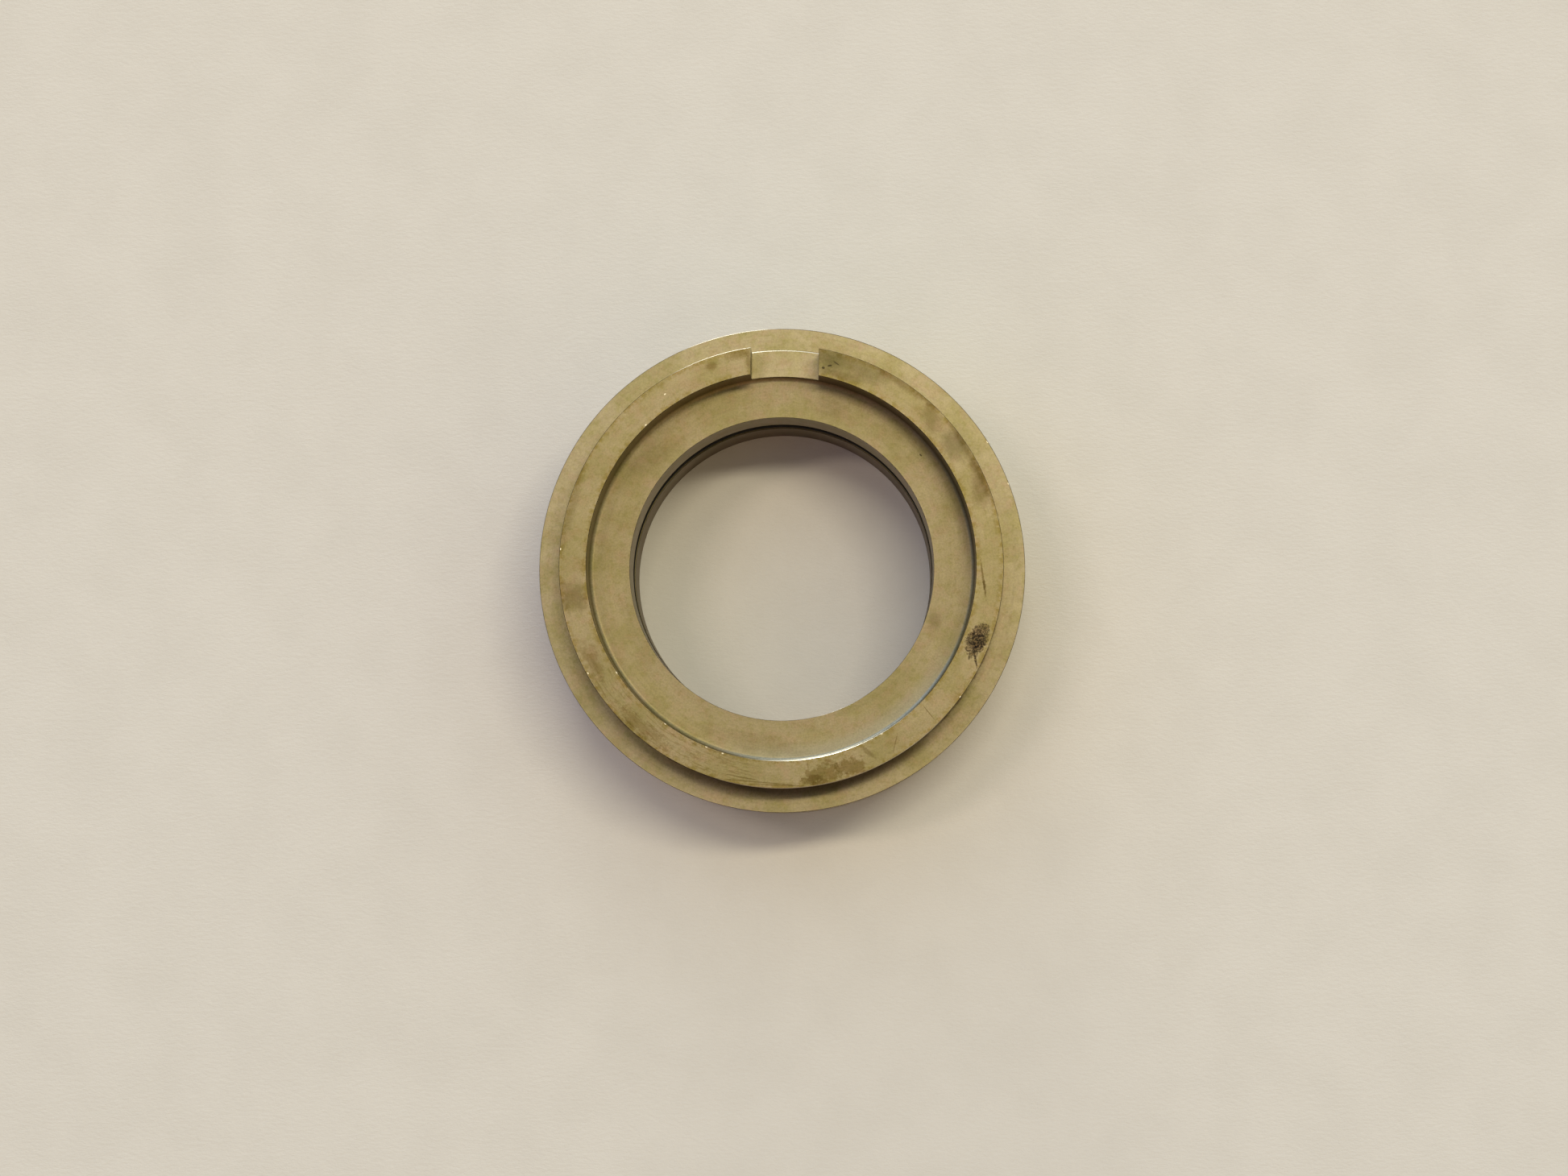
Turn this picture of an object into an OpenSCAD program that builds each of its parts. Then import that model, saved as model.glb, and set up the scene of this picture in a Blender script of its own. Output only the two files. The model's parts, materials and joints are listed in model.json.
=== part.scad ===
// Shaft collar: one turned ring with a stepped body, a raised rim round a shallow
// recess, a drive notch cut through the rim, and an O-ring in a groove in its bore.
// The back face lies on z = 0, the bore runs along Z and the notch points along +Y.

/* [Bore] */
// Diameter of the shaft that the collar slides on
bore_d = 45; // [36:0.5:60]
// Width of the flat floor between the bore and the wall of the recess
ledge_w = 6; // [4:0.5:10]

/* [Body] */
// Height of the body, from its back face to the shoulder round the rim
body_h = 19; // [15:0.5:30]
// Width of the shoulder outside the rim
shoulder_w = 3.5; // [1:0.5:8]

/* [Rim] */
// Thickness of the rim's wall
rim_w = 4; // [2.5:0.5:8]
// Height of the rim above the shoulder
rim_h = 6; // [3:0.5:10]
// Depth of the recess below the rim's face
recess_depth = 5; // [3:0.5:8]
// Radius of the fillet at the foot of the recess's wall
foot_fillet_r = 0.7; // [0.3:0.1:2]

/* [Drive notch] */
// Width of the notch through the rim
notch_w = 10; // [6:0.5:16]
// Height of the notch's floor above the floor of the recess
notch_step = 0.6; // [0.2:0.1:1.5]

/* [O-ring] */
// Diameter of the O-ring's cord before it is squeezed
cord_d = 3; // [2:0.1:4]
// Share of the cord's diameter that the shaft squeezes away
squeeze = 0.2; // [0.1:0.01:0.3]
// Gap at each side of the squeezed O-ring in its groove
side_gap = 0.4; // [0.2:0.05:0.8]
// Depth below the floor of the recess at which the groove starts
groove_drop = 7.5; // [3:0.5:9]

/* [Edges] */
// Width of the small chamfer that breaks each turned edge
edge_break = 0.2; // [0.1:0.05:0.4]

/* [Hidden] */
$fn = 144;

// Radii, from the bore outwards
bore_r = bore_d / 2;
recess_r = bore_r + ledge_w;
rim_r = recess_r + rim_w;
body_r = rim_r + shoulder_w;

// Levels, from the back face upwards
total_h = body_h + rim_h;
floor_z = total_h - recess_depth;
notch_z = floor_z + notch_step;

// The squeezed cord keeps the area of its round section
seal_t = cord_d * (1 - squeeze);
cord_area = PI * pow(cord_d, 2) / 4;
seal_flat = (cord_area - PI * pow(seal_t, 2) / 4) / seal_t;
seal_w = seal_flat + seal_t;

// Groove that holds the O-ring
groove_w = seal_w + 2 * side_gap;
groove_r = bore_r + seal_t;
groove_top = floor_z - groove_drop;
groove_bottom = groove_top - groove_w;
groove_mid = (groove_top + groove_bottom) / 2;

// Stock that the notch's cutter passes beyond the faces it opens
overrun = 1;

// Half section of the turned ring, radius along X and height along Y
module ring_section() {
    polygon([
        [bore_r + edge_break, 0],
        [body_r - edge_break, 0],
        [body_r, edge_break],
        [body_r, body_h - edge_break],
        [body_r - edge_break, body_h],
        [rim_r, body_h],
        [rim_r, total_h - edge_break],
        [rim_r - edge_break, total_h],
        [recess_r + edge_break, total_h],
        [recess_r, total_h - edge_break],
        [recess_r, floor_z],
        [bore_r + edge_break, floor_z],
        [bore_r, floor_z - edge_break],
        [bore_r, groove_top],
        [groove_r, groove_top],
        [groove_r, groove_bottom],
        [bore_r, groove_bottom],
        [bore_r, edge_break]
    ]);
}

// Concave fillet between the recess's floor and its wall
module foot_fillet() {
    difference() {
        translate([recess_r - foot_fillet_r, floor_z])
            square(foot_fillet_r);
        translate([recess_r - foot_fillet_r, floor_z + foot_fillet_r])
            circle(r = foot_fillet_r);
    }
}

// Cutter for the notch, open at the top and at both sides of the rim
module notch_cutter() {
    translate([-notch_w / 2, bore_r + ledge_w / 2, notch_z])
        cube([notch_w, ledge_w / 2 + rim_w + shoulder_w + overrun, total_h - notch_z + overrun]);
}

module collar_body() {
    color([0.66, 0.59, 0.38])
        difference() {
            rotate_extrude() {
                ring_section();
                foot_fillet();
            }
            notch_cutter();
        }
}

// The O-ring as the shaft holds it: flat on the shaft and on the groove, round at both sides
module bore_o_ring() {
    color([0.08, 0.08, 0.08])
        rotate_extrude()
            translate([bore_r + seal_t / 2, groove_mid]) {
                square([seal_t, seal_flat], center = true);
                for (side = [-1, 1])
                    translate([0, side * seal_flat / 2])
                        circle(d = seal_t);
            }
}

collar_body();
bore_o_ring();
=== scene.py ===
import json
from math import cos, pi, radians, sin

import bmesh
import bpy
from mathutils import Matrix, Vector


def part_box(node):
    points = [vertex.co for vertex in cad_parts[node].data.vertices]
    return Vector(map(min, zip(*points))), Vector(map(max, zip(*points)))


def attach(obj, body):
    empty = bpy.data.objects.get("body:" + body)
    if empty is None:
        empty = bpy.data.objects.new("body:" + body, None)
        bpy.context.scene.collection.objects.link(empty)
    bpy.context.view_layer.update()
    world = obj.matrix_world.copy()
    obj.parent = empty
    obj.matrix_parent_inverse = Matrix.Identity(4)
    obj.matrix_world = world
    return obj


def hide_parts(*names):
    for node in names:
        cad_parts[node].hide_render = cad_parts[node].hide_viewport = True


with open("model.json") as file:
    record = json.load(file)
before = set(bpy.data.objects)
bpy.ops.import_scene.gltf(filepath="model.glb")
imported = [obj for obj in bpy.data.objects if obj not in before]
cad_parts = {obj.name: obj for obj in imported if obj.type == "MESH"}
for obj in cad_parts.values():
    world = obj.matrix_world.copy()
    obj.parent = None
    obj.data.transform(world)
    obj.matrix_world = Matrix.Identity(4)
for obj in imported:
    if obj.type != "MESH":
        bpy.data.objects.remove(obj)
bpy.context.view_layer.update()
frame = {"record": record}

mm = 0.001
mounts = {mount["name"]: mount for mount in frame["record"]["mounts"]}


def mountRadius(name):
    return mounts[name]["dims"]["r_mm"] * mm


def clockPoint(angle, radius, level=0.0):  # clockwise from the notch, looking at the rim
    return Vector((radius * sin(radians(angle)), radius * cos(radians(angle)), level))


def finishPiece(bm, name):
    mesh = bpy.data.meshes.new(name)
    bm.to_mesh(mesh)
    bm.free()
    piece = bpy.data.objects.new(name, mesh)
    bpy.context.scene.collection.objects.link(piece)
    return piece


def spinOutline(bm, outline, columns):  # turns a closed outline of (radius, level) into a ring
    corners = [bm.verts.new((radius, 0, level)) for radius, level in outline]
    sides = [bm.edges.new((corners[i - 1], corners[i])) for i in range(len(corners))]
    bmesh.ops.spin(bm, geom=corners + sides, axis=(0, 0, 1), cent=(0, 0, 0), angle=2 * pi,
                   steps=columns, use_merge=True)
    bmesh.ops.recalc_face_normals(bm, faces=bm.faces)


def onCircle(edge, radius, level, reach=0.02 * mm):
    return all(abs(v.co.xy.length - radius) < reach and abs(v.co.z - level) < reach
               for v in edge.verts)


# The turned ring
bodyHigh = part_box("collar_body")[1]
sealLow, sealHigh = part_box("bore_o_ring")
collar = {
    "boreRadius": mountRadius("shaft_bore"),
    "recessRadius": mountRadius("recess_seat"),
    "rimRadius": mountRadius("rim_spigot"),
    "bodyRadius": bodyHigh.x,
    "grooveRadius": sealHigh.x,
    "shoulderLevel": mounts["shoulder_face"]["pos_m"][2],
    "rimLevel": bodyHigh.z,
    "recessDepth": 5 * mm,
    "footFillet": 0.7 * mm,
    "notchWidth": 10 * mm,
    "notchStep": 0.6 * mm,  # notch floor above the recess floor
    "grooveGap": 0.4 * mm,  # room at each side of the O-ring
    "notchOverrun": 2 * mm,  # how far the cutter passes the faces it opens
    "columns": 264,
    "footSteps": 8,
    "weld": 0.005 * mm,
    "sharpAngle": 30,
    "edgeBreak": 0.20 * mm,
    "lipBreak": 0.40 * mm,  # outer edge of the notch floor
    "fineBreak": 0.12 * mm,  # bore, groove and the notch's own edges
}
collar["floorLevel"] = collar["rimLevel"] - collar["recessDepth"]
collar["notchLevel"] = collar["floorLevel"] + collar["notchStep"]


def turnCollar(c):
    bm = bmesh.new()
    grooveTop = sealHigh.z + c["grooveGap"]
    grooveBottom = sealLow.z - c["grooveGap"]
    spinOutline(bm, [
        (c["boreRadius"], 0), (c["bodyRadius"], 0),
        (c["bodyRadius"], c["shoulderLevel"]), (c["rimRadius"], c["shoulderLevel"]),
        (c["rimRadius"], c["rimLevel"]), (c["recessRadius"], c["rimLevel"]),
        (c["recessRadius"], c["floorLevel"]), (c["boreRadius"], c["floorLevel"]),
        (c["boreRadius"], grooveTop), (c["grooveRadius"], grooveTop),
        (c["grooveRadius"], grooveBottom), (c["boreRadius"], grooveBottom),
    ], c["columns"])
    foot = [e for e in bm.edges if onCircle(e, c["recessRadius"], c["floorLevel"])]
    bmesh.ops.bevel(bm, geom=foot, offset=c["footFillet"], offset_type="OFFSET",
                    segments=c["footSteps"], profile=0.5, affect="EDGES", material=-1)
    return finishPiece(bm, "turnedCollar")


def applyModifiers(piece):
    bpy.context.view_layer.update()
    graph = bpy.context.evaluated_depsgraph_get()
    shaped = bpy.data.meshes.new_from_object(piece.evaluated_get(graph))
    piece.modifiers.clear()
    piece.data = shaped


def cutNotch(piece, c):
    bm = bmesh.new()
    inside = c["boreRadius"] + (c["recessRadius"] - c["boreRadius"]) / 2
    reach = c["bodyRadius"] + c["notchOverrun"] - inside
    depth = c["rimLevel"] + c["notchOverrun"] - c["notchLevel"]
    place = (Matrix.Translation((0, inside + reach / 2, c["notchLevel"] + depth / 2))
             @ Matrix.Diagonal((c["notchWidth"], reach, depth, 1)))
    bmesh.ops.create_cube(bm, size=1, matrix=place)
    cutter = finishPiece(bm, "notchCutter")
    cut = piece.modifiers.new("notch", "BOOLEAN")
    cut.operation = "DIFFERENCE"
    cut.solver = "EXACT"
    cut.object = cutter
    applyModifiers(piece)
    bpy.data.objects.remove(cutter)


def breakWidth(edge, c, slack=0.01 * mm):  # how wide a chamfer this edge gets
    middle = (edge.verts[0].co + edge.verts[1].co) / 2
    radius = middle.xy.length
    inNotch = middle.y > 0 and abs(middle.x) < c["notchWidth"] / 2 + slack and radius < c["rimRadius"] + slack
    if radius < c["grooveRadius"] + mm or not edge.is_convex:
        return c["fineBreak"]
    if onCircle(edge, c["rimRadius"], c["notchLevel"]):
        return c["lipBreak"]
    return c["fineBreak"] if inNotch else c["edgeBreak"]


def breakEdges(piece, c):  # small chamfers on the turned and milled edges
    bm = bmesh.new()
    bm.from_mesh(piece.data)
    bmesh.ops.remove_doubles(bm, verts=bm.verts, dist=c["weld"])
    widths = bm.edges.layers.float.new("bevel_weight_edge")
    for edge in bm.edges:
        if edge.calc_face_angle(0) >= radians(c["sharpAngle"]):
            edge[widths] = breakWidth(edge, c) / c["lipBreak"]
    bm.to_mesh(piece.data)
    bm.free()
    chamfers = piece.modifiers.new("edge breaks", "BEVEL")
    chamfers.limit_method = "WEIGHT"
    chamfers.width = c["lipBreak"]
    chamfers.segments = 1
    chamfers.material = 1  # the broken edges' material, with its painted outlines and highlights
    applyModifiers(piece)
    bm = bmesh.new()
    bm.from_mesh(piece.data)
    for face in bm.faces:
        face.smooth = True
    for edge in bm.edges:
        edge.smooth = edge.calc_face_angle(0) < radians(c["sharpAngle"])
    bm.to_mesh(piece.data)
    bm.free()


collarPiece = turnCollar(collar)
for slot in range(2):  # the turned faces and the broken edges
    collarPiece.data.materials.append(None)
cutNotch(collarPiece, collar)
breakEdges(collarPiece, collar)
print("collar turned, notched and deburred")

# The O-ring, squeezed between the groove and the shaft
seal = {"columns": 264, "rounds": 8, "cornerAngle": 40, "weld": 0.005 * mm}


def mouldSeal(c, s):
    bm = bmesh.new()
    thickness = c["grooveRadius"] - c["boreRadius"]
    spinOutline(bm, [
        (c["boreRadius"], sealLow.z), (c["grooveRadius"], sealLow.z),
        (c["grooveRadius"], sealHigh.z), (c["boreRadius"], sealHigh.z),
    ], s["columns"])
    corners = [e for e in bm.edges if e.calc_face_angle() > radians(s["cornerAngle"])]
    bmesh.ops.bevel(bm, geom=corners, offset=thickness / 2, offset_type="OFFSET",
                    segments=s["rounds"], profile=0.5, affect="EDGES", material=-1)
    bmesh.ops.remove_doubles(bm, verts=bm.verts, dist=s["weld"])
    for face in bm.faces:
        face.smooth = True
    return finishPiece(bm, "rubberSeal")


sealPiece = mouldSeal(collar, seal)
print("seal moulded")


# Shader helpers: each adds its node and returns what comes out of it
def link(tree, value, socket):
    if isinstance(value, bpy.types.NodeSocket):
        tree.links.new(value, socket)
    elif value is not None:
        socket.default_value = value


def addMath(tree, operation, first, second=None, third=None):
    node = tree.nodes.new("ShaderNodeMath")
    node.operation = operation
    for value, socket in zip((first, second, third), node.inputs):
        link(tree, value, socket)
    return node.outputs[0]


def addVector(tree, operation, first, second=None):
    node = tree.nodes.new("ShaderNodeVectorMath")
    node.operation = operation
    link(tree, first, node.inputs[0])
    link(tree, second, node.inputs[1])
    return node.outputs["Value" if operation in ("LENGTH", "DOT_PRODUCT") else "Vector"]


def addRange(tree, value, low, high, toLow=0.0, toHigh=1.0):  # a smooth step between two levels
    node = tree.nodes.new("ShaderNodeMapRange")
    node.interpolation_type = "SMOOTHSTEP"
    for name, setting in (("Value", value), ("From Min", low), ("From Max", high),
                          ("To Min", toLow), ("To Max", toHigh)):
        link(tree, setting, node.inputs[name])
    return node.outputs["Result"]


def addProduct(tree, first, *others):
    for other in others:
        first = addMath(tree, "MULTIPLY", first, other)
    return first


def addNoise(tree, vector, scale, detail, roughness):
    node = tree.nodes.new("ShaderNodeTexNoise")
    link(tree, vector, node.inputs["Vector"])
    node.inputs["Scale"].default_value = scale
    node.inputs["Detail"].default_value = detail
    node.inputs["Roughness"].default_value = roughness
    return node.outputs["Fac"]


def addMix(tree, amount, first, second, blend="MIX"):
    node = tree.nodes.new("ShaderNodeMix")
    node.data_type = "RGBA"
    node.blend_type = blend
    link(tree, amount, node.inputs["Factor"])
    link(tree, first, node.inputs[6])
    link(tree, second, node.inputs[7])
    return node.outputs[2]


def addTint(tree, amount, colour, tint):
    return addMix(tree, amount, colour, tint, "MULTIPLY")


def addBump(tree, height, strength, distance):
    node = tree.nodes.new("ShaderNodeBump")
    node.inputs["Strength"].default_value = strength
    node.inputs["Distance"].default_value = distance
    link(tree, height, node.inputs["Height"])
    return node.outputs["Normal"]


def newMaterial(name):
    material = bpy.data.materials.new(name)
    material.use_nodes = True
    tree = material.node_tree
    return material, tree, tree.nodes["Principled BSDF"]


def objectPoint(tree):
    return tree.nodes.new("ShaderNodeTexCoord").outputs["Object"]


def flatPoint(tree, point):
    return addVector(tree, "MULTIPLY", point, (1, 1, 0))


def axisRadius(tree, point):
    return addVector(tree, "LENGTH", flatPoint(tree, point))


def pointLevel(tree, point):
    split = tree.nodes.new("ShaderNodeSeparateXYZ")
    link(tree, point, split.inputs[0])
    return split.outputs["Z"]


def lathePoint(tree, point, spread, pitch):  # draws a pattern out round the turning axis
    heading = addVector(tree, "NORMALIZE", flatPoint(tree, point))
    around = addVector(tree, "MULTIPLY", heading, (spread, spread, 0))
    outwards = addMath(tree, "ADD", axisRadius(tree, point), pointLevel(tree, point))
    join = tree.nodes.new("ShaderNodeCombineXYZ")
    link(tree, addMath(tree, "MULTIPLY", outwards, 1 / pitch), join.inputs["Z"])
    return addVector(tree, "ADD", around, join.outputs[0])


def spotMask(tree, point, spot, level):  # 1 inside a ragged oval on the face at that level, 0 outside it
    angle, radius = spot["at"]
    along, across = spot["half"]
    place = tree.nodes.new("ShaderNodeMapping")
    place.vector_type = "TEXTURE"
    link(tree, point, place.inputs["Vector"])
    place.inputs["Location"].default_value = clockPoint(angle, radius * mm, level)
    place.inputs["Rotation"].default_value = (0, 0, radians(spot.get("turn", 0) - angle))
    place.inputs["Scale"].default_value = (along * mm, across * mm, spot.get("high", 0.6) * mm)
    distance = addVector(tree, "LENGTH", place.outputs[0])
    ragged = addNoise(tree, point, spot["grain"], 3, 0.6)
    wobble = addMath(tree, "MULTIPLY_ADD", ragged, 2 * spot["ragged"], -spot["ragged"])
    edge = addMath(tree, "ADD", distance, wobble)
    return addRange(tree, edge, 1 + spot["soft"] / 2, 1 - spot["soft"] / 2)


# Bronze: khaki and mottled, stained on the rim, dull in the recess, with painted shade in its corners,
# painted light and shade down the bore, and a painted reflection and highlight at the foot of the recess
bronze = {
    "plain": (0.350, 0.290, 0.168, 1),
    "rim": (0.316, 0.256, 0.137, 1),
    "recess": (0.300, 0.244, 0.132, 1),
    "wall": (0.285, 0.220, 0.122, 1),  # outer wall, browner than the faces
    # the bore's lands carry painted light and shade: the upper land lighter, the lower land darker
    "bore": (0.305, 0.25, 0.17, 1),
    "boreLowShade": (0.20, 0.152, 0.10, 1),
    "olive": (0.86, 0.88, 0.72, 1),  # tints that multiply the colours above
    "tan": (1.09, 1.01, 1.05, 1),
    "honey": (0.84, 0.78, 0.54, 1),
    # painted shade for the corners beside the rim and in the recess
    "cornerShade": (0.27, 0.21, 0.19, 1),
    "sheen": (0.285, 0.262, 0.185, 1),  # painted reflection greying the floor beside the foot
    "sheenDepth": 0.7,
    "foot": (0.50, 0.49, 0.40, 1),  # smoother in the corner of the recess, and painted greyer and brighter there as a highlight along the fillet
    "footDepth": 0.6,
    # painted glints on the nicks
    "nickGlint": (0.78, 0.70, 0.50, 1),
    "patches": (170, 3, 0.55),  # patterns: scale, detail and roughness
    "clouds": (480, 4, 0.65),
    "blotches": (1100, 4, 0.65),
    "grain": (3600, 3, 0.7),
    "rings": (1, 3, 0.6),
    "streaks": (1, 4, 0.7),
    "cloudShift": (0.31, 0.17, 0.09),  # so that the patterns don't line up
    "blotchShift": (0.07, 0.23, 0.41),
    "oliveRange": (0.36, 0.60, 0.95, 0),  # pattern levels where a tint starts and ends, and how deep it is
    "tanRange": (0.45, 0.68),
    "blotchRange": (0.46, 0.66, 0, 0.8),
    "honeyRange": (0.40, 0.58),
    "cornerShadeRange": (0.35, 0.60, 0.25, 0.9),
    "streakRange": (0.50, 0.62),
    "turnedPitch": 0.35 * mm,  # between the faint tool marks
    "turnedSpread": 3,
    "wipedPitch": 0.28 * mm,  # between the streaks of the wiped stain
    "wipedSpread": 11,
    "shade": {"base": 0.47, "grain": 0.80, "rings": 0.26},
    "metallic": 0.85,
    "roughness": {"base": 0.38, "clouds": 0.14, "grain": 0.10, "foot": -0.16, "wall": -0.14},
    "ringDepth": {"base": 0.6, "wall": 1.4},
    "bump": (0.25, 0.02 * mm),
}
# How far past an edge each mask is still 0 and already 1, in mm
bands = {
    "offBack": (0.3, 0.6),
    "recess": (0.1, -0.1),
    "rim": (-0.4, -0.1),
    "bore": (0.06, 0.02),
    "boreEdge": (0.5, 0.3),
    "wall": (-0.10, -0.04),
    "rimSides": (-1.1, -0.1),
    # bands of the painted reflection beside the foot and the painted highlight on the fillet
    "sheen": (-3.2, -0.7),
    "foot": (-0.6, -0.3),
    "shoulder": (0.6, 0.1),
    "outside": (-0.3, -0.1),
    # bands of the painted corner shade
    "thinCornerShade": (0.45, 0.05),
    "wideCornerShade": (1.9, 0.3),
    "innerCornerShade": (-2.4, -0.4),
}
# Marks on the rim and the ledge, gathered by tint. Each has its clock angle from the notch and its radius in
# mm, its half sizes in mm along and across the tangent, and how far it is turned from the tangent. "soft" and
# "ragged" are how far its edge fades and wanders, "grain" is how finely it wanders, and "high" is how far up
# and down it reaches
greyStains = {"tint": (0.57, 0.56, 0.48, 1), "spots": [
    {"at": (18, 31.3), "half": (5.2, 1.6), "soft": 1.3, "ragged": 0.8, "grain": 450, "depth": 0.75},
    {"at": (11.5, 31.2), "half": (2.0, 2.0), "soft": 1.2, "ragged": 0.8, "grain": 700, "depth": 0.6},
    {"at": (54, 31.1), "half": (2.1, 2.0), "soft": 1.4, "ragged": 0.9, "grain": 600, "depth": 0.85},
    {"at": (108, 23.9), "half": (1.2, 1.0), "soft": 1.3, "ragged": 0.8, "grain": 700, "depth": 0.5},
]}
brownStains = {"tint": (0.52, 0.46, 0.32, 1), "spots": [
    {"at": (17, 29.3), "half": (2.6, 0.6), "soft": 1.3, "ragged": 0.8, "grain": 700, "depth": 0.6},
    {"at": (33, 32.1), "half": (6.0, 0.6), "soft": 1.4, "ragged": 0.8, "grain": 600, "depth": 0.65},
    {"at": (44.5, 31.0), "half": (2.6, 1.1), "turn": -38, "soft": 1.5, "ragged": 1.0, "grain": 600,
     "depth": 0.6},
    {"at": (60, 32.0), "half": (9.0, 0.6), "soft": 1.4, "ragged": 0.9, "grain": 500, "depth": 0.7},
    {"at": (67, 31.2), "half": (3.0, 1.1), "turn": -12, "soft": 1.3, "ragged": 1.1, "grain": 600,
     "depth": 0.7},
    {"at": (154, 30.1), "half": (1.2, 0.3), "turn": -62, "soft": 0.9, "ragged": 0.8, "grain": 900,
     "depth": 0.55},
    {"at": (260.5, 30.9), "half": (2.0, 1.9), "soft": 1.3, "ragged": 1.1, "grain": 700, "depth": 0.7},
    {"at": (284, 31.9), "half": (6.0, 0.7), "soft": 1.3, "ragged": 0.9, "grain": 600, "depth": 0.4},
    {"at": (350, 30.2), "half": (0.5, 1.4), "soft": 1.2, "ragged": 0.9, "grain": 900, "depth": 0.6},
    {"at": (16, 25.4), "half": (2.2, 1.6), "soft": 1.4, "ragged": 0.9, "grain": 500, "depth": 0.35},
    {"at": (309, 25.4), "half": (3.6, 1.6), "turn": -16, "soft": 1.4, "ragged": 0.9, "grain": 500,
     "depth": 0.35},
    {"at": (190, 25.8), "half": (6.5, 1.2), "soft": 1.4, "ragged": 0.9, "grain": 500, "depth": 0.30},
]}
rustStains = {"tint": (0.58, 0.50, 0.31, 1), "spots": [
    {"at": (160.5, 31.0), "half": (2.0, 1.3), "turn": -8, "soft": 0.7, "ragged": 1.5, "grain": 900,
     "depth": 0.85},
    {"at": (167.5, 31.0), "half": (2.6, 1.4), "soft": 0.6, "ragged": 1.9, "grain": 1000, "depth": 0.75},
    {"at": (171, 31.6), "half": (1.6, 0.6), "soft": 0.6, "ragged": 1.2, "grain": 1000, "depth": 0.75},
    {"at": (219, 31.1), "half": (3.8, 0.9), "soft": 1.1, "ragged": 1.4, "grain": 900, "depth": 0.6},
    {"at": (242, 30.8), "half": (2.6, 1.1), "soft": 1.1, "ragged": 1.4, "grain": 800, "depth": 0.6},
    {"at": (339.6, 31.2), "half": (0.9, 0.6), "soft": 1.1, "ragged": 0.7, "grain": 900, "depth": 0.8},
    {"at": (347.5, 31.8), "half": (2.0, 0.6), "soft": 1.1, "ragged": 0.9, "grain": 900, "depth": 0.7},
]}
scratches = {"tint": brownStains["tint"], "spots": [
    {"at": (92.9, 29.56), "half": (2.6, 0.15), "turn": 11.7, "soft": 0.7, "ragged": 0.8, "grain": 1800,
     "depth": 0.9},
    {"at": (95, 29.85), "half": (0.9, 0.20), "turn": 14, "soft": 0.7, "ragged": 0.8, "grain": 1800,
     "depth": 0.8},
    {"at": (134, 30.4), "half": (1.3, 0.07), "turn": 84, "soft": 0.8, "ragged": 0.3, "grain": 1800,
     "depth": 0.8},
    {"at": (146.5, 30.9), "half": (1.4, 0.07), "turn": 44, "soft": 0.8, "ragged": 0.3, "grain": 1800,
     "depth": 0.7},
    {"at": (184, 31.75), "half": (5.5, 0.08), "soft": 0.8, "ragged": 0.8, "grain": 1500, "depth": 0.7},
    {"at": (181, 32.05), "half": (5.0, 0.07), "soft": 0.8, "ragged": 0.8, "grain": 1500, "depth": 0.7},
    {"at": (190, 31.4), "half": (3.0, 0.08), "soft": 0.8, "ragged": 0.8, "grain": 1500, "depth": 0.6},
]}
specks = {"tint": (0.30, 0.28, 0.26, 1), "spots": [
    {"at": (49.7, 26.6), "half": (0.22, 0.12), "soft": 0.4, "ragged": 0.4, "grain": 3000, "depth": 1.0},
    {"at": (11, 29.8), "half": (0.24, 0.18), "soft": 0.5, "ragged": 0.5, "grain": 3000, "depth": 1.0},
    {"at": (12.6, 30.3), "half": (0.32, 0.13), "turn": 20, "soft": 0.5, "ragged": 0.5, "grain": 3000,
     "depth": 1.0},
    {"at": (14.2, 30.9), "half": (0.55, 0.11), "turn": -20, "soft": 0.5, "ragged": 0.5, "grain": 3000,
     "depth": 0.8},
]}
blot = {  # a dark blot of dirt on the rim, with paler veins
    "spots": [
        {"at": (108.6, 30.75), "half": (1.95, 1.30), "soft": 0.25, "ragged": 0.7, "grain": 1500,
         "depth": 0.95},
        {"at": (111.2, 30.5), "half": (1.7, 1.25), "soft": 0.3, "ragged": 1.2, "grain": 1700, "depth": 0.95},
        {"at": (113.2, 31.1), "half": (1.3, 0.28), "turn": 20, "soft": 0.5, "ragged": 1.0, "grain": 1800,
         "depth": 0.8},
        {"at": (114.6, 30.6), "half": (0.7, 0.22), "turn": -10, "soft": 0.5, "ragged": 1.0, "grain": 1800,
         "depth": 0.8},
        {"at": (115, 31.5), "half": (1.3, 0.14), "turn": 37, "soft": 0.5, "ragged": 0.3, "grain": 1800,
         "depth": 0.9},
    ],
    "dark": (0.20, 0.18, 0.17, 1),
    "pale": (0.66, 0.60, 0.56, 1),
    "veins": (2600, 2, 0.7),
    "veinRange": (0.44, 0.60),
}
# Wide soft areas: painted shade outside the rim and inside it, the smoother foot with its painted reflection
# and highlight, and a wiped stain
lowCorner = {"at": (174, 33.5), "half": (28, 11), "soft": 0.9, "ragged": 0.2, "grain": 200, "depth": 0.75}
highCorner = {"at": (44, 28.5), "half": (22, 12), "high": 6, "soft": 0.9, "ragged": 0.2, "grain": 200,
              "depth": 0.5}
footSheenArc = {"at": (155, 28.5), "half": (21, 9), "high": 4, "soft": 1.0, "ragged": 0.1, "grain": 200}
wipe = {"at": (214, 30.6), "half": (17, 7), "soft": 0.8, "ragged": 0.2, "grain": 200, "depth": 0.55}
# Nicks, painted as bright glints
nickGlints = {
    "places": [(57.2, 35.9), (68.3, 35.9), (125.4, 32.4), (148.2, 28.62), (196.1, 28.7), (201.2, 28.62),
               (215, 28.6), (235.8, 28.62), (239.7, 32.25), (273.3, 32.35), (325, 30.5), (315.2, 28.7)],
    "look": {"half": (0.16, 0.09), "soft": 0.4, "ragged": 0.4, "grain": 3000},
}


def addBand(tree, value, edge, band):
    start, end = bands[band]
    return addRange(tree, value, edge + start * mm, edge + end * mm)


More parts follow.
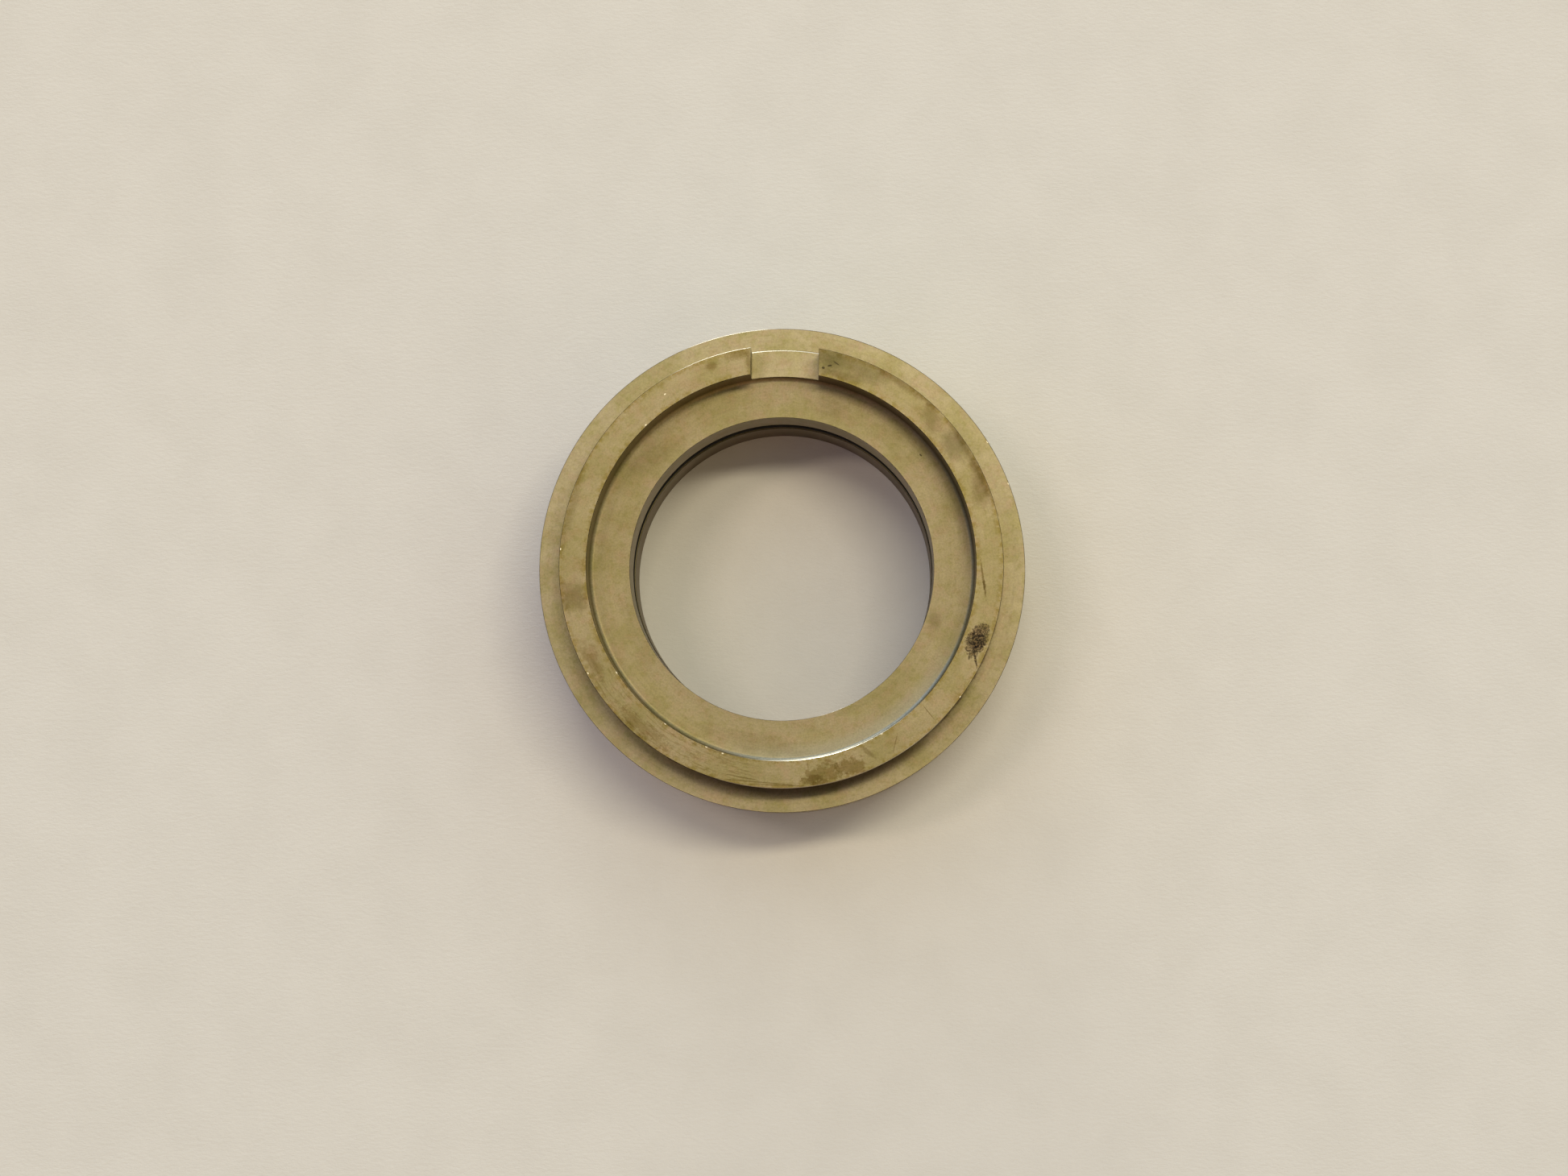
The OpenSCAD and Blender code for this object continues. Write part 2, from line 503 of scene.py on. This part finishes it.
def faceLevel(radius, c):  # level of the upward face at that radius
    if radius > c["rimRadius"]:
        return c["shoulderLevel"]
    return c["rimLevel"] if radius > c["recessRadius"] else c["floorLevel"]


def layMarks(tree, point, colour, spots, tint, c):
    for spot in spots:
        mask = spotMask(tree, point, spot, faceLevel(spot["at"][1] * mm, c))
        colour = addTint(tree, addProduct(tree, mask, spot["depth"]), colour, tint)
    return colour


def bronzePatterns(tree, point, b):
    places = {
        "patches": point,
        "clouds": addVector(tree, "ADD", point, b["cloudShift"]),
        "blotches": addVector(tree, "ADD", point, b["blotchShift"]),
        "grain": point,
        "rings": lathePoint(tree, point, b["turnedSpread"], b["turnedPitch"]),
        "streaks": lathePoint(tree, point, b["wipedSpread"], b["wipedPitch"]),
    }
    return {name: addNoise(tree, place, *b[name]) for name, place in places.items()}


def bronzeZones(tree, radius, level, c):  # 1 on each part of the surface, 0 elsewhere
    offBack = addBand(tree, level, 0, "offBack")  # the back face stays plain
    return {
        "offBack": offBack,
        "recess": addProduct(tree, addBand(tree, radius, c["recessRadius"], "recess"), offBack),
        "rim": addBand(tree, level, c["rimLevel"], "rim"),
        "bore": addBand(tree, radius, c["boreRadius"], "bore"),
        "wall": addBand(tree, radius, c["bodyRadius"], "wall"),
    }


def cleanColour(tree, level, zones, b):
    colour = addMix(tree, zones["recess"], b["plain"], b["recess"])
    colour = addMix(tree, zones["rim"], colour, b["rim"])
    # painted shade and light down the bore: darker on the lower land, lighter on the upper
    land = addMix(tree, addRange(tree, level, sealLow.z, sealHigh.z), b["boreLowShade"], b["bore"])
    colour = addMix(tree, zones["bore"], colour, land)
    return addMix(tree, zones["wall"], colour, b["wall"])


def mottle(tree, colour, patterns, b):
    for pattern, levels, tint in (("patches", "oliveRange", "olive"), ("clouds", "tanRange", "tan"),
                                  ("blotches", "blotchRange", "olive")):
        colour = addTint(tree, addRange(tree, patterns[pattern], *b[levels]), colour, b[tint])
    return colour


def stainRimEdges(tree, colour, radius, patterns, zones, b, c):
    middle = (c["recessRadius"] + c["rimRadius"]) / 2
    half = (c["rimRadius"] - c["recessRadius"]) / 2
    fromMiddle = addMath(tree, "ABSOLUTE", addMath(tree, "SUBTRACT", radius, middle))
    stained = addProduct(tree, addBand(tree, fromMiddle, half, "rimSides"), zones["rim"],
                         addRange(tree, patterns["blotches"], *b["honeyRange"]))
    return addTint(tree, stained, colour, b["honey"])


def footSheenAndSmoothness(tree, colour, point, radius, zones, b, c):  # paints a reflection on the floor beside the foot and a highlight along the fillet, and also returns where the fillet's smoother finish shows
    arc = addProduct(tree, spotMask(tree, point, footSheenArc, c["floorLevel"]), zones["recess"])
    sheen = addProduct(tree, addBand(tree, radius, c["recessRadius"], "sheen"), arc)
    colour = addMix(tree, addProduct(tree, sheen, b["sheenDepth"]), colour, b["sheen"])
    foot = addProduct(tree, addBand(tree, radius, c["recessRadius"], "foot"), arc)
    return addMix(tree, addProduct(tree, foot, b["footDepth"]), colour, b["foot"]), foot


# Painted shade in the corners outside the rim and inside the recess, patchy where the clouds are
def paintCornerShade(tree, point, radius, level, patterns, zones, b, c):
    thin = addProduct(tree, addBand(tree, radius, c["rimRadius"], "thinCornerShade"),
                      addRange(tree, patterns["clouds"], *b["cornerShadeRange"]))
    wide = addProduct(tree, addBand(tree, radius, c["rimRadius"], "wideCornerShade"),
                      spotMask(tree, point, lowCorner, c["shoulderLevel"]), lowCorner["depth"])
    outer = addProduct(tree, addMath(tree, "MAXIMUM", thin, wide), zones["offBack"],
                       addBand(tree, level, c["shoulderLevel"], "shoulder"),
                       addBand(tree, radius, c["rimRadius"], "outside"))
    inner = addProduct(tree, addBand(tree, radius, c["recessRadius"], "innerCornerShade"), zones["recess"],
                       spotMask(tree, point, highCorner, c["floorLevel"]), highCorner["depth"])
    return addMath(tree, "MAXIMUM", outer, inner)


def addShares(tree, shares, values):  # the base plus each named value times its share
    total = shares["base"]
    for name, share in shares.items():
        if name != "base":
            total = addMath(tree, "MULTIPLY_ADD", values[name], share, total)
    return total


def bronzeMaterial(b, c):
    material, tree, surface = newMaterial("tarnishedBronze")
    point = objectPoint(tree)
    radius = axisRadius(tree, point)
    level = pointLevel(tree, point)
    patterns = bronzePatterns(tree, point, b)
    zones = bronzeZones(tree, radius, level, c)
    colour = cleanColour(tree, level, zones, b)
    colour = mottle(tree, colour, patterns, b)
    colour = stainRimEdges(tree, colour, radius, patterns, zones, b, c)
    # painted reflection and highlight at the foot of the recess
    colour, foot = footSheenAndSmoothness(tree, colour, point, radius, zones, b, c)
    values = {**patterns, **zones, "foot": foot}
    colour = addTint(tree, 1, colour, addShares(tree, b["shade"], values))
    # painted shade in the corners
    cornerShade = paintCornerShade(tree, point, radius, level, patterns, zones, b, c)
    colour = addTint(tree, cornerShade, colour, b["cornerShade"])
    wiped = addProduct(tree, addRange(tree, patterns["streaks"], *b["streakRange"]),
                       spotMask(tree, point, wipe, c["rimLevel"]), wipe["depth"])
    colour = addTint(tree, wiped, colour, rustStains["tint"])
    for stains in (greyStains, brownStains, rustStains, scratches, specks):
        colour = layMarks(tree, point, colour, stains["spots"], stains["tint"], c)
    # bright painted glints on the nicks
    for angle, size in nickGlints["places"]:
        nickGlint = {"at": (angle, size), **nickGlints["look"]}
        colour = addMix(tree, spotMask(tree, point, nickGlint, faceLevel(size * mm, c)), colour, b["nickGlint"])
    veins = addRange(tree, addNoise(tree, point, *blot["veins"]), *blot["veinRange"])
    colour = layMarks(tree, point, colour, blot["spots"], addMix(tree, veins, blot["dark"], blot["pale"]), c)
    link(tree, colour, surface.inputs["Base Color"])
    surface.inputs["Metallic"].default_value = b["metallic"]
    link(tree, addShares(tree, b["roughness"], values), surface.inputs["Roughness"])
    ringDepth = addShares(tree, b["ringDepth"], values)
    height = addMath(tree, "MULTIPLY_ADD", patterns["rings"], ringDepth, patterns["grain"])
    link(tree, addBump(tree, height, *b["bump"]), surface.inputs["Normal"])
    return material


# The broken edges: painted dark as outlines, patchy with grime, and rubbed smoother on a few arcs that are
# painted bright as highlights
edges = {
    # painted dark outline along the broken edges, darker where grimy and darker still in the bore
    "darkOutline": (0.10, 0.076, 0.038, 1),
    "grimyDarkOutline": (0.045, 0.034, 0.020, 1),
    "bore": (0.05, 0.038, 0.028, 1),
    # painted highlight on the rubbed arcs
    "bright": (0.98, 0.95, 0.82, 1),
    "grime": (420, 4, 0.7),  # patterns: scale, detail and roughness
    "grain": (3600, 3, 0.7),
    "grimeRange": (0.40, 0.62),
    "metallic": 0.95,
    "roughness": 0.50,
    "rubbedRoughness": 0.28,
    "bump": (0.2, 0.02 * mm),
}
# Arcs of the edges rubbed smoother and painted bright as highlights
rubbedHighlightArcs = [
    {"face": "rimLevel", "at": (341.5, 32.5), "half": (6.2, 1.6), "high": 3,
     "soft": 0.9, "ragged": 0.3, "grain": 500, "depth": 1},
    {"face": "notchLevel", "at": (0, 32.5), "half": (5.6, 1.6), "high": 3,
     "soft": 0.1, "ragged": 0.1, "grain": 500, "depth": 1},
    {"face": "shoulderLevel", "at": (346.5, 36), "half": (6.0, 2.0), "high": 3,
     "soft": 0.8, "ragged": 0.5, "grain": 900, "depth": 1},
    {"face": "rimLevel", "at": (163, 28.5), "half": (13, 4), "high": 3,
     "soft": 1.2, "ragged": 0.2, "grain": 300, "depth": 1},
    {"face": "floorLevel", "at": (156, 22.5), "half": (3.5, 0.8), "high": 3,
     "soft": 0.8, "ragged": 0.6, "grain": 500, "depth": 0.6},
]


def edgeMaterial(e, c):
    material, tree, surface = newMaterial("brokenEdge")
    point = objectPoint(tree)
    grime = addNoise(tree, point, *e["grime"])
    grain = addNoise(tree, point, *e["grain"])
    bright = 0
    for arc in rubbedHighlightArcs:
        mask = addProduct(tree, spotMask(tree, point, arc, c[arc["face"]]), arc["depth"])
        bright = addMath(tree, "MAXIMUM", mask, bright)
    inBore = addBand(tree, axisRadius(tree, point), c["boreRadius"], "boreEdge")
    # painted dark outline, grimy in patches and darker in the bore, with a painted highlight on the rubbed
    # arcs
    colour = addMix(tree, addRange(tree, grime, *e["grimeRange"]), e["darkOutline"], e["grimyDarkOutline"])
    colour = addMix(tree, inBore, colour, e["bore"])
    link(tree, addMix(tree, bright, colour, e["bright"]), surface.inputs["Base Color"])
    surface.inputs["Metallic"].default_value = e["metallic"]
    rough = addMath(tree, "MULTIPLY_ADD", bright, e["rubbedRoughness"] - e["roughness"], e["roughness"])
    link(tree, rough, surface.inputs["Roughness"])
    link(tree, addBump(tree, grain, *e["bump"]), surface.inputs["Normal"])
    return material


# Nitrile rubber, black under a little dust
rubber = {
    "black": (0.010, 0.009, 0.008, 1),
    "dusty": (0.024, 0.021, 0.017, 1),
    "dust": (700, 4, 0.65),  # patterns: scale, detail and roughness
    "grain": (5000, 2, 0.6),
    "dustRange": (0.45, 0.75),
    "roughness": 0.65,  # where it is clean
    "dustRoughness": 0.3,  # added by the dust
    "specular": 0.06,
    "bump": (0.2, 0.02 * mm),
}


def rubberMaterial(r):
    material, tree, surface = newMaterial("nitrileRubber")
    point = objectPoint(tree)
    dust = addNoise(tree, point, *r["dust"])
    grain = addNoise(tree, point, *r["grain"])
    colour = addMix(tree, addRange(tree, dust, *r["dustRange"]), r["black"], r["dusty"])
    rough = addMath(tree, "MULTIPLY_ADD", dust, r["dustRoughness"], r["roughness"])
    link(tree, colour, surface.inputs["Base Color"])
    link(tree, rough, surface.inputs["Roughness"])
    surface.inputs["Specular IOR Level"].default_value = r["specular"]
    link(tree, addBump(tree, grain, *r["bump"]), surface.inputs["Normal"])
    return material


collarPiece.data.materials[0] = bronzeMaterial(bronze, collar)
collarPiece.data.materials[1] = edgeMaterial(edges, collar)
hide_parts("collar_body")
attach(collarPiece, "root")
sealPiece.data.materials.append(rubberMaterial(rubber))
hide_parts("bore_o_ring")
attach(sealPiece, "root")
print("metal and rubber finished")

# The sheet of paper that the collar lies on
sheet = {
    "halfWidth": 1.2,
    "pale": (0.80, 0.765, 0.70, 1),
    "shade": (0.74, 0.705, 0.64, 1),
    "pulp": (90, 4, 0.6),  # patterns: scale, detail and roughness
    "fibre": (900, 4, 0.7),
    "pulpRange": (0.3, 0.75, 0, 0.5),
    "fibreStretch": (1, 2.2, 1),
    "bump": (0.6, 0.12 * mm),
    "roughness": 0.95,
    "specular": 0.2,
}


def layPaper(s):
    bm = bmesh.new()
    bmesh.ops.create_grid(bm, x_segments=1, y_segments=1, size=s["halfWidth"])
    paper = finishPiece(bm, "paperSheet")
    material, tree, surface = newMaterial("matPaper")
    point = objectPoint(tree)
    pulp = addNoise(tree, point, *s["pulp"])
    fibre = addNoise(tree, addVector(tree, "MULTIPLY", point, s["fibreStretch"]), *s["fibre"])
    colour = addMix(tree, addRange(tree, pulp, *s["pulpRange"]), s["pale"], s["shade"])
    link(tree, colour, surface.inputs["Base Color"])
    surface.inputs["Roughness"].default_value = s["roughness"]
    surface.inputs["Specular IOR Level"].default_value = s["specular"]
    link(tree, addBump(tree, fibre, *s["bump"]), surface.inputs["Normal"])
    paper.data.materials.append(material)


layPaper(sheet)

# Studio light: two soft tubes overhead and a low window, all beyond the notch. Each lamp leans away from
# straight up towards its heading, and is shifted along its own length
lamps = {
    "longTube": {
        "power": 11.0, "size": (1.1, 0.16), "colour": (1.0, 0.90, 0.66),
        "height": 1.65, "lean": 14, "heading": -8, "turn": 8, "shift": 0.45,
    },
    "shortTube": {
        "power": 4.5, "size": (0.6, 0.16), "colour": (1.0, 0.82, 0.64),
        "height": 1.65, "lean": 14, "heading": -8, "turn": 8, "shift": -0.8,
    },
    "window": {
        "power": 6.5, "size": (0.45, 0.25), "colour": (1.0, 0.97, 0.86),
        "height": 0.165, "lean": 84, "heading": -14, "turn": -14, "shift": 0,
    },
}
# The room's walls glow softly, each in its own colour
walls = {
    "beyond": {"towards": (0, 0.94, 0.34), "colour": (0.57, 0.67, 0.80, 1)},
    "right": {"towards": (0.94, 0, 0.34), "colour": (0.51, 0.53, 0.38, 1)},
    "left": {"towards": (-0.94, 0, 0.34), "colour": (0.23, 0.33, 0.54, 1)},
    "near": {"towards": (0, -0.94, 0.34), "colour": (0.29, 0.12, 0.03, 1)},
}


def hangLamp(name, lamp):
    data = bpy.data.lights.new(name, "AREA")
    data.shape = "RECTANGLE"
    data.size, data.size_y = lamp["size"]
    data.energy = lamp["power"]
    data.color = lamp["colour"]
    light = bpy.data.objects.new(name, data)
    bpy.context.scene.collection.objects.link(light)
    lean, heading, turn = (radians(lamp[k]) for k in ("lean", "heading", "turn"))
    away = Vector((sin(lean) * sin(heading), sin(lean) * cos(heading), cos(lean)))
    place = away * (lamp["height"] / cos(lean))
    long = Vector((cos(turn), sin(turn), 0))
    long = (long - away * long.dot(away)).normalized()
    short = away.cross(long)
    place += long * lamp["shift"]
    light.matrix_world = Matrix.Translation(place) @ Matrix((long, short, away)).transposed().to_4x4()


for name, lamp in lamps.items():
    hangLamp(name, lamp)


def lightRoom(walls):
    world = bpy.data.worlds.new("paleRoom")
    bpy.context.scene.world = world
    world.use_nodes = True
    tree = world.node_tree
    heading = addVector(tree, "NORMALIZE", tree.nodes.new("ShaderNodeTexCoord").outputs["Generated"])
    glow = (0, 0, 0, 1)
    for wall in walls.values():
        facing = addVector(tree, "DOT_PRODUCT", heading, wall["towards"])
        glow = addMix(tree, addRange(tree, facing, 0.2, 1), glow, wall["colour"], "ADD")
    link(tree, glow, tree.nodes["Background"].inputs["Color"])


lightRoom(walls)

# Camera, nearly straight above the collar
eye = {
    "lens": 64.75,
    "sensor": 36,
    "distance": 416.6 * mm,
    "tilt": 4.95,  # from straight above
    "heading": 164.6,  # clock angle of the side that it stands on
    "upHeading": -1.05,  # clock angle at the top of the picture
    "aim": (0.4 * mm, -2.9 * mm, collar["floorLevel"]),
}


def placeCamera(e):
    data = bpy.data.cameras.new("camera")
    data.lens = e["lens"]
    data.sensor_width = e["sensor"]
    data.clip_start = 10 * mm
    camera = bpy.data.objects.new("camera", data)
    bpy.context.scene.collection.objects.link(camera)
    tilt = radians(e["tilt"])
    back = clockPoint(e["heading"], sin(tilt), cos(tilt))
    up = clockPoint(e["upHeading"], 1)
    up = (up - back * up.dot(back)).normalized()
    side = up.cross(back)
    place = Vector(e["aim"]) + back * e["distance"]
    camera.matrix_world = Matrix.Translation(place) @ Matrix((side, up, back)).transposed().to_4x4()
    bpy.context.scene.camera = camera


placeCamera(eye)
bpy.context.scene.view_settings.view_transform = "Standard"
print("paper, lights and camera in place")
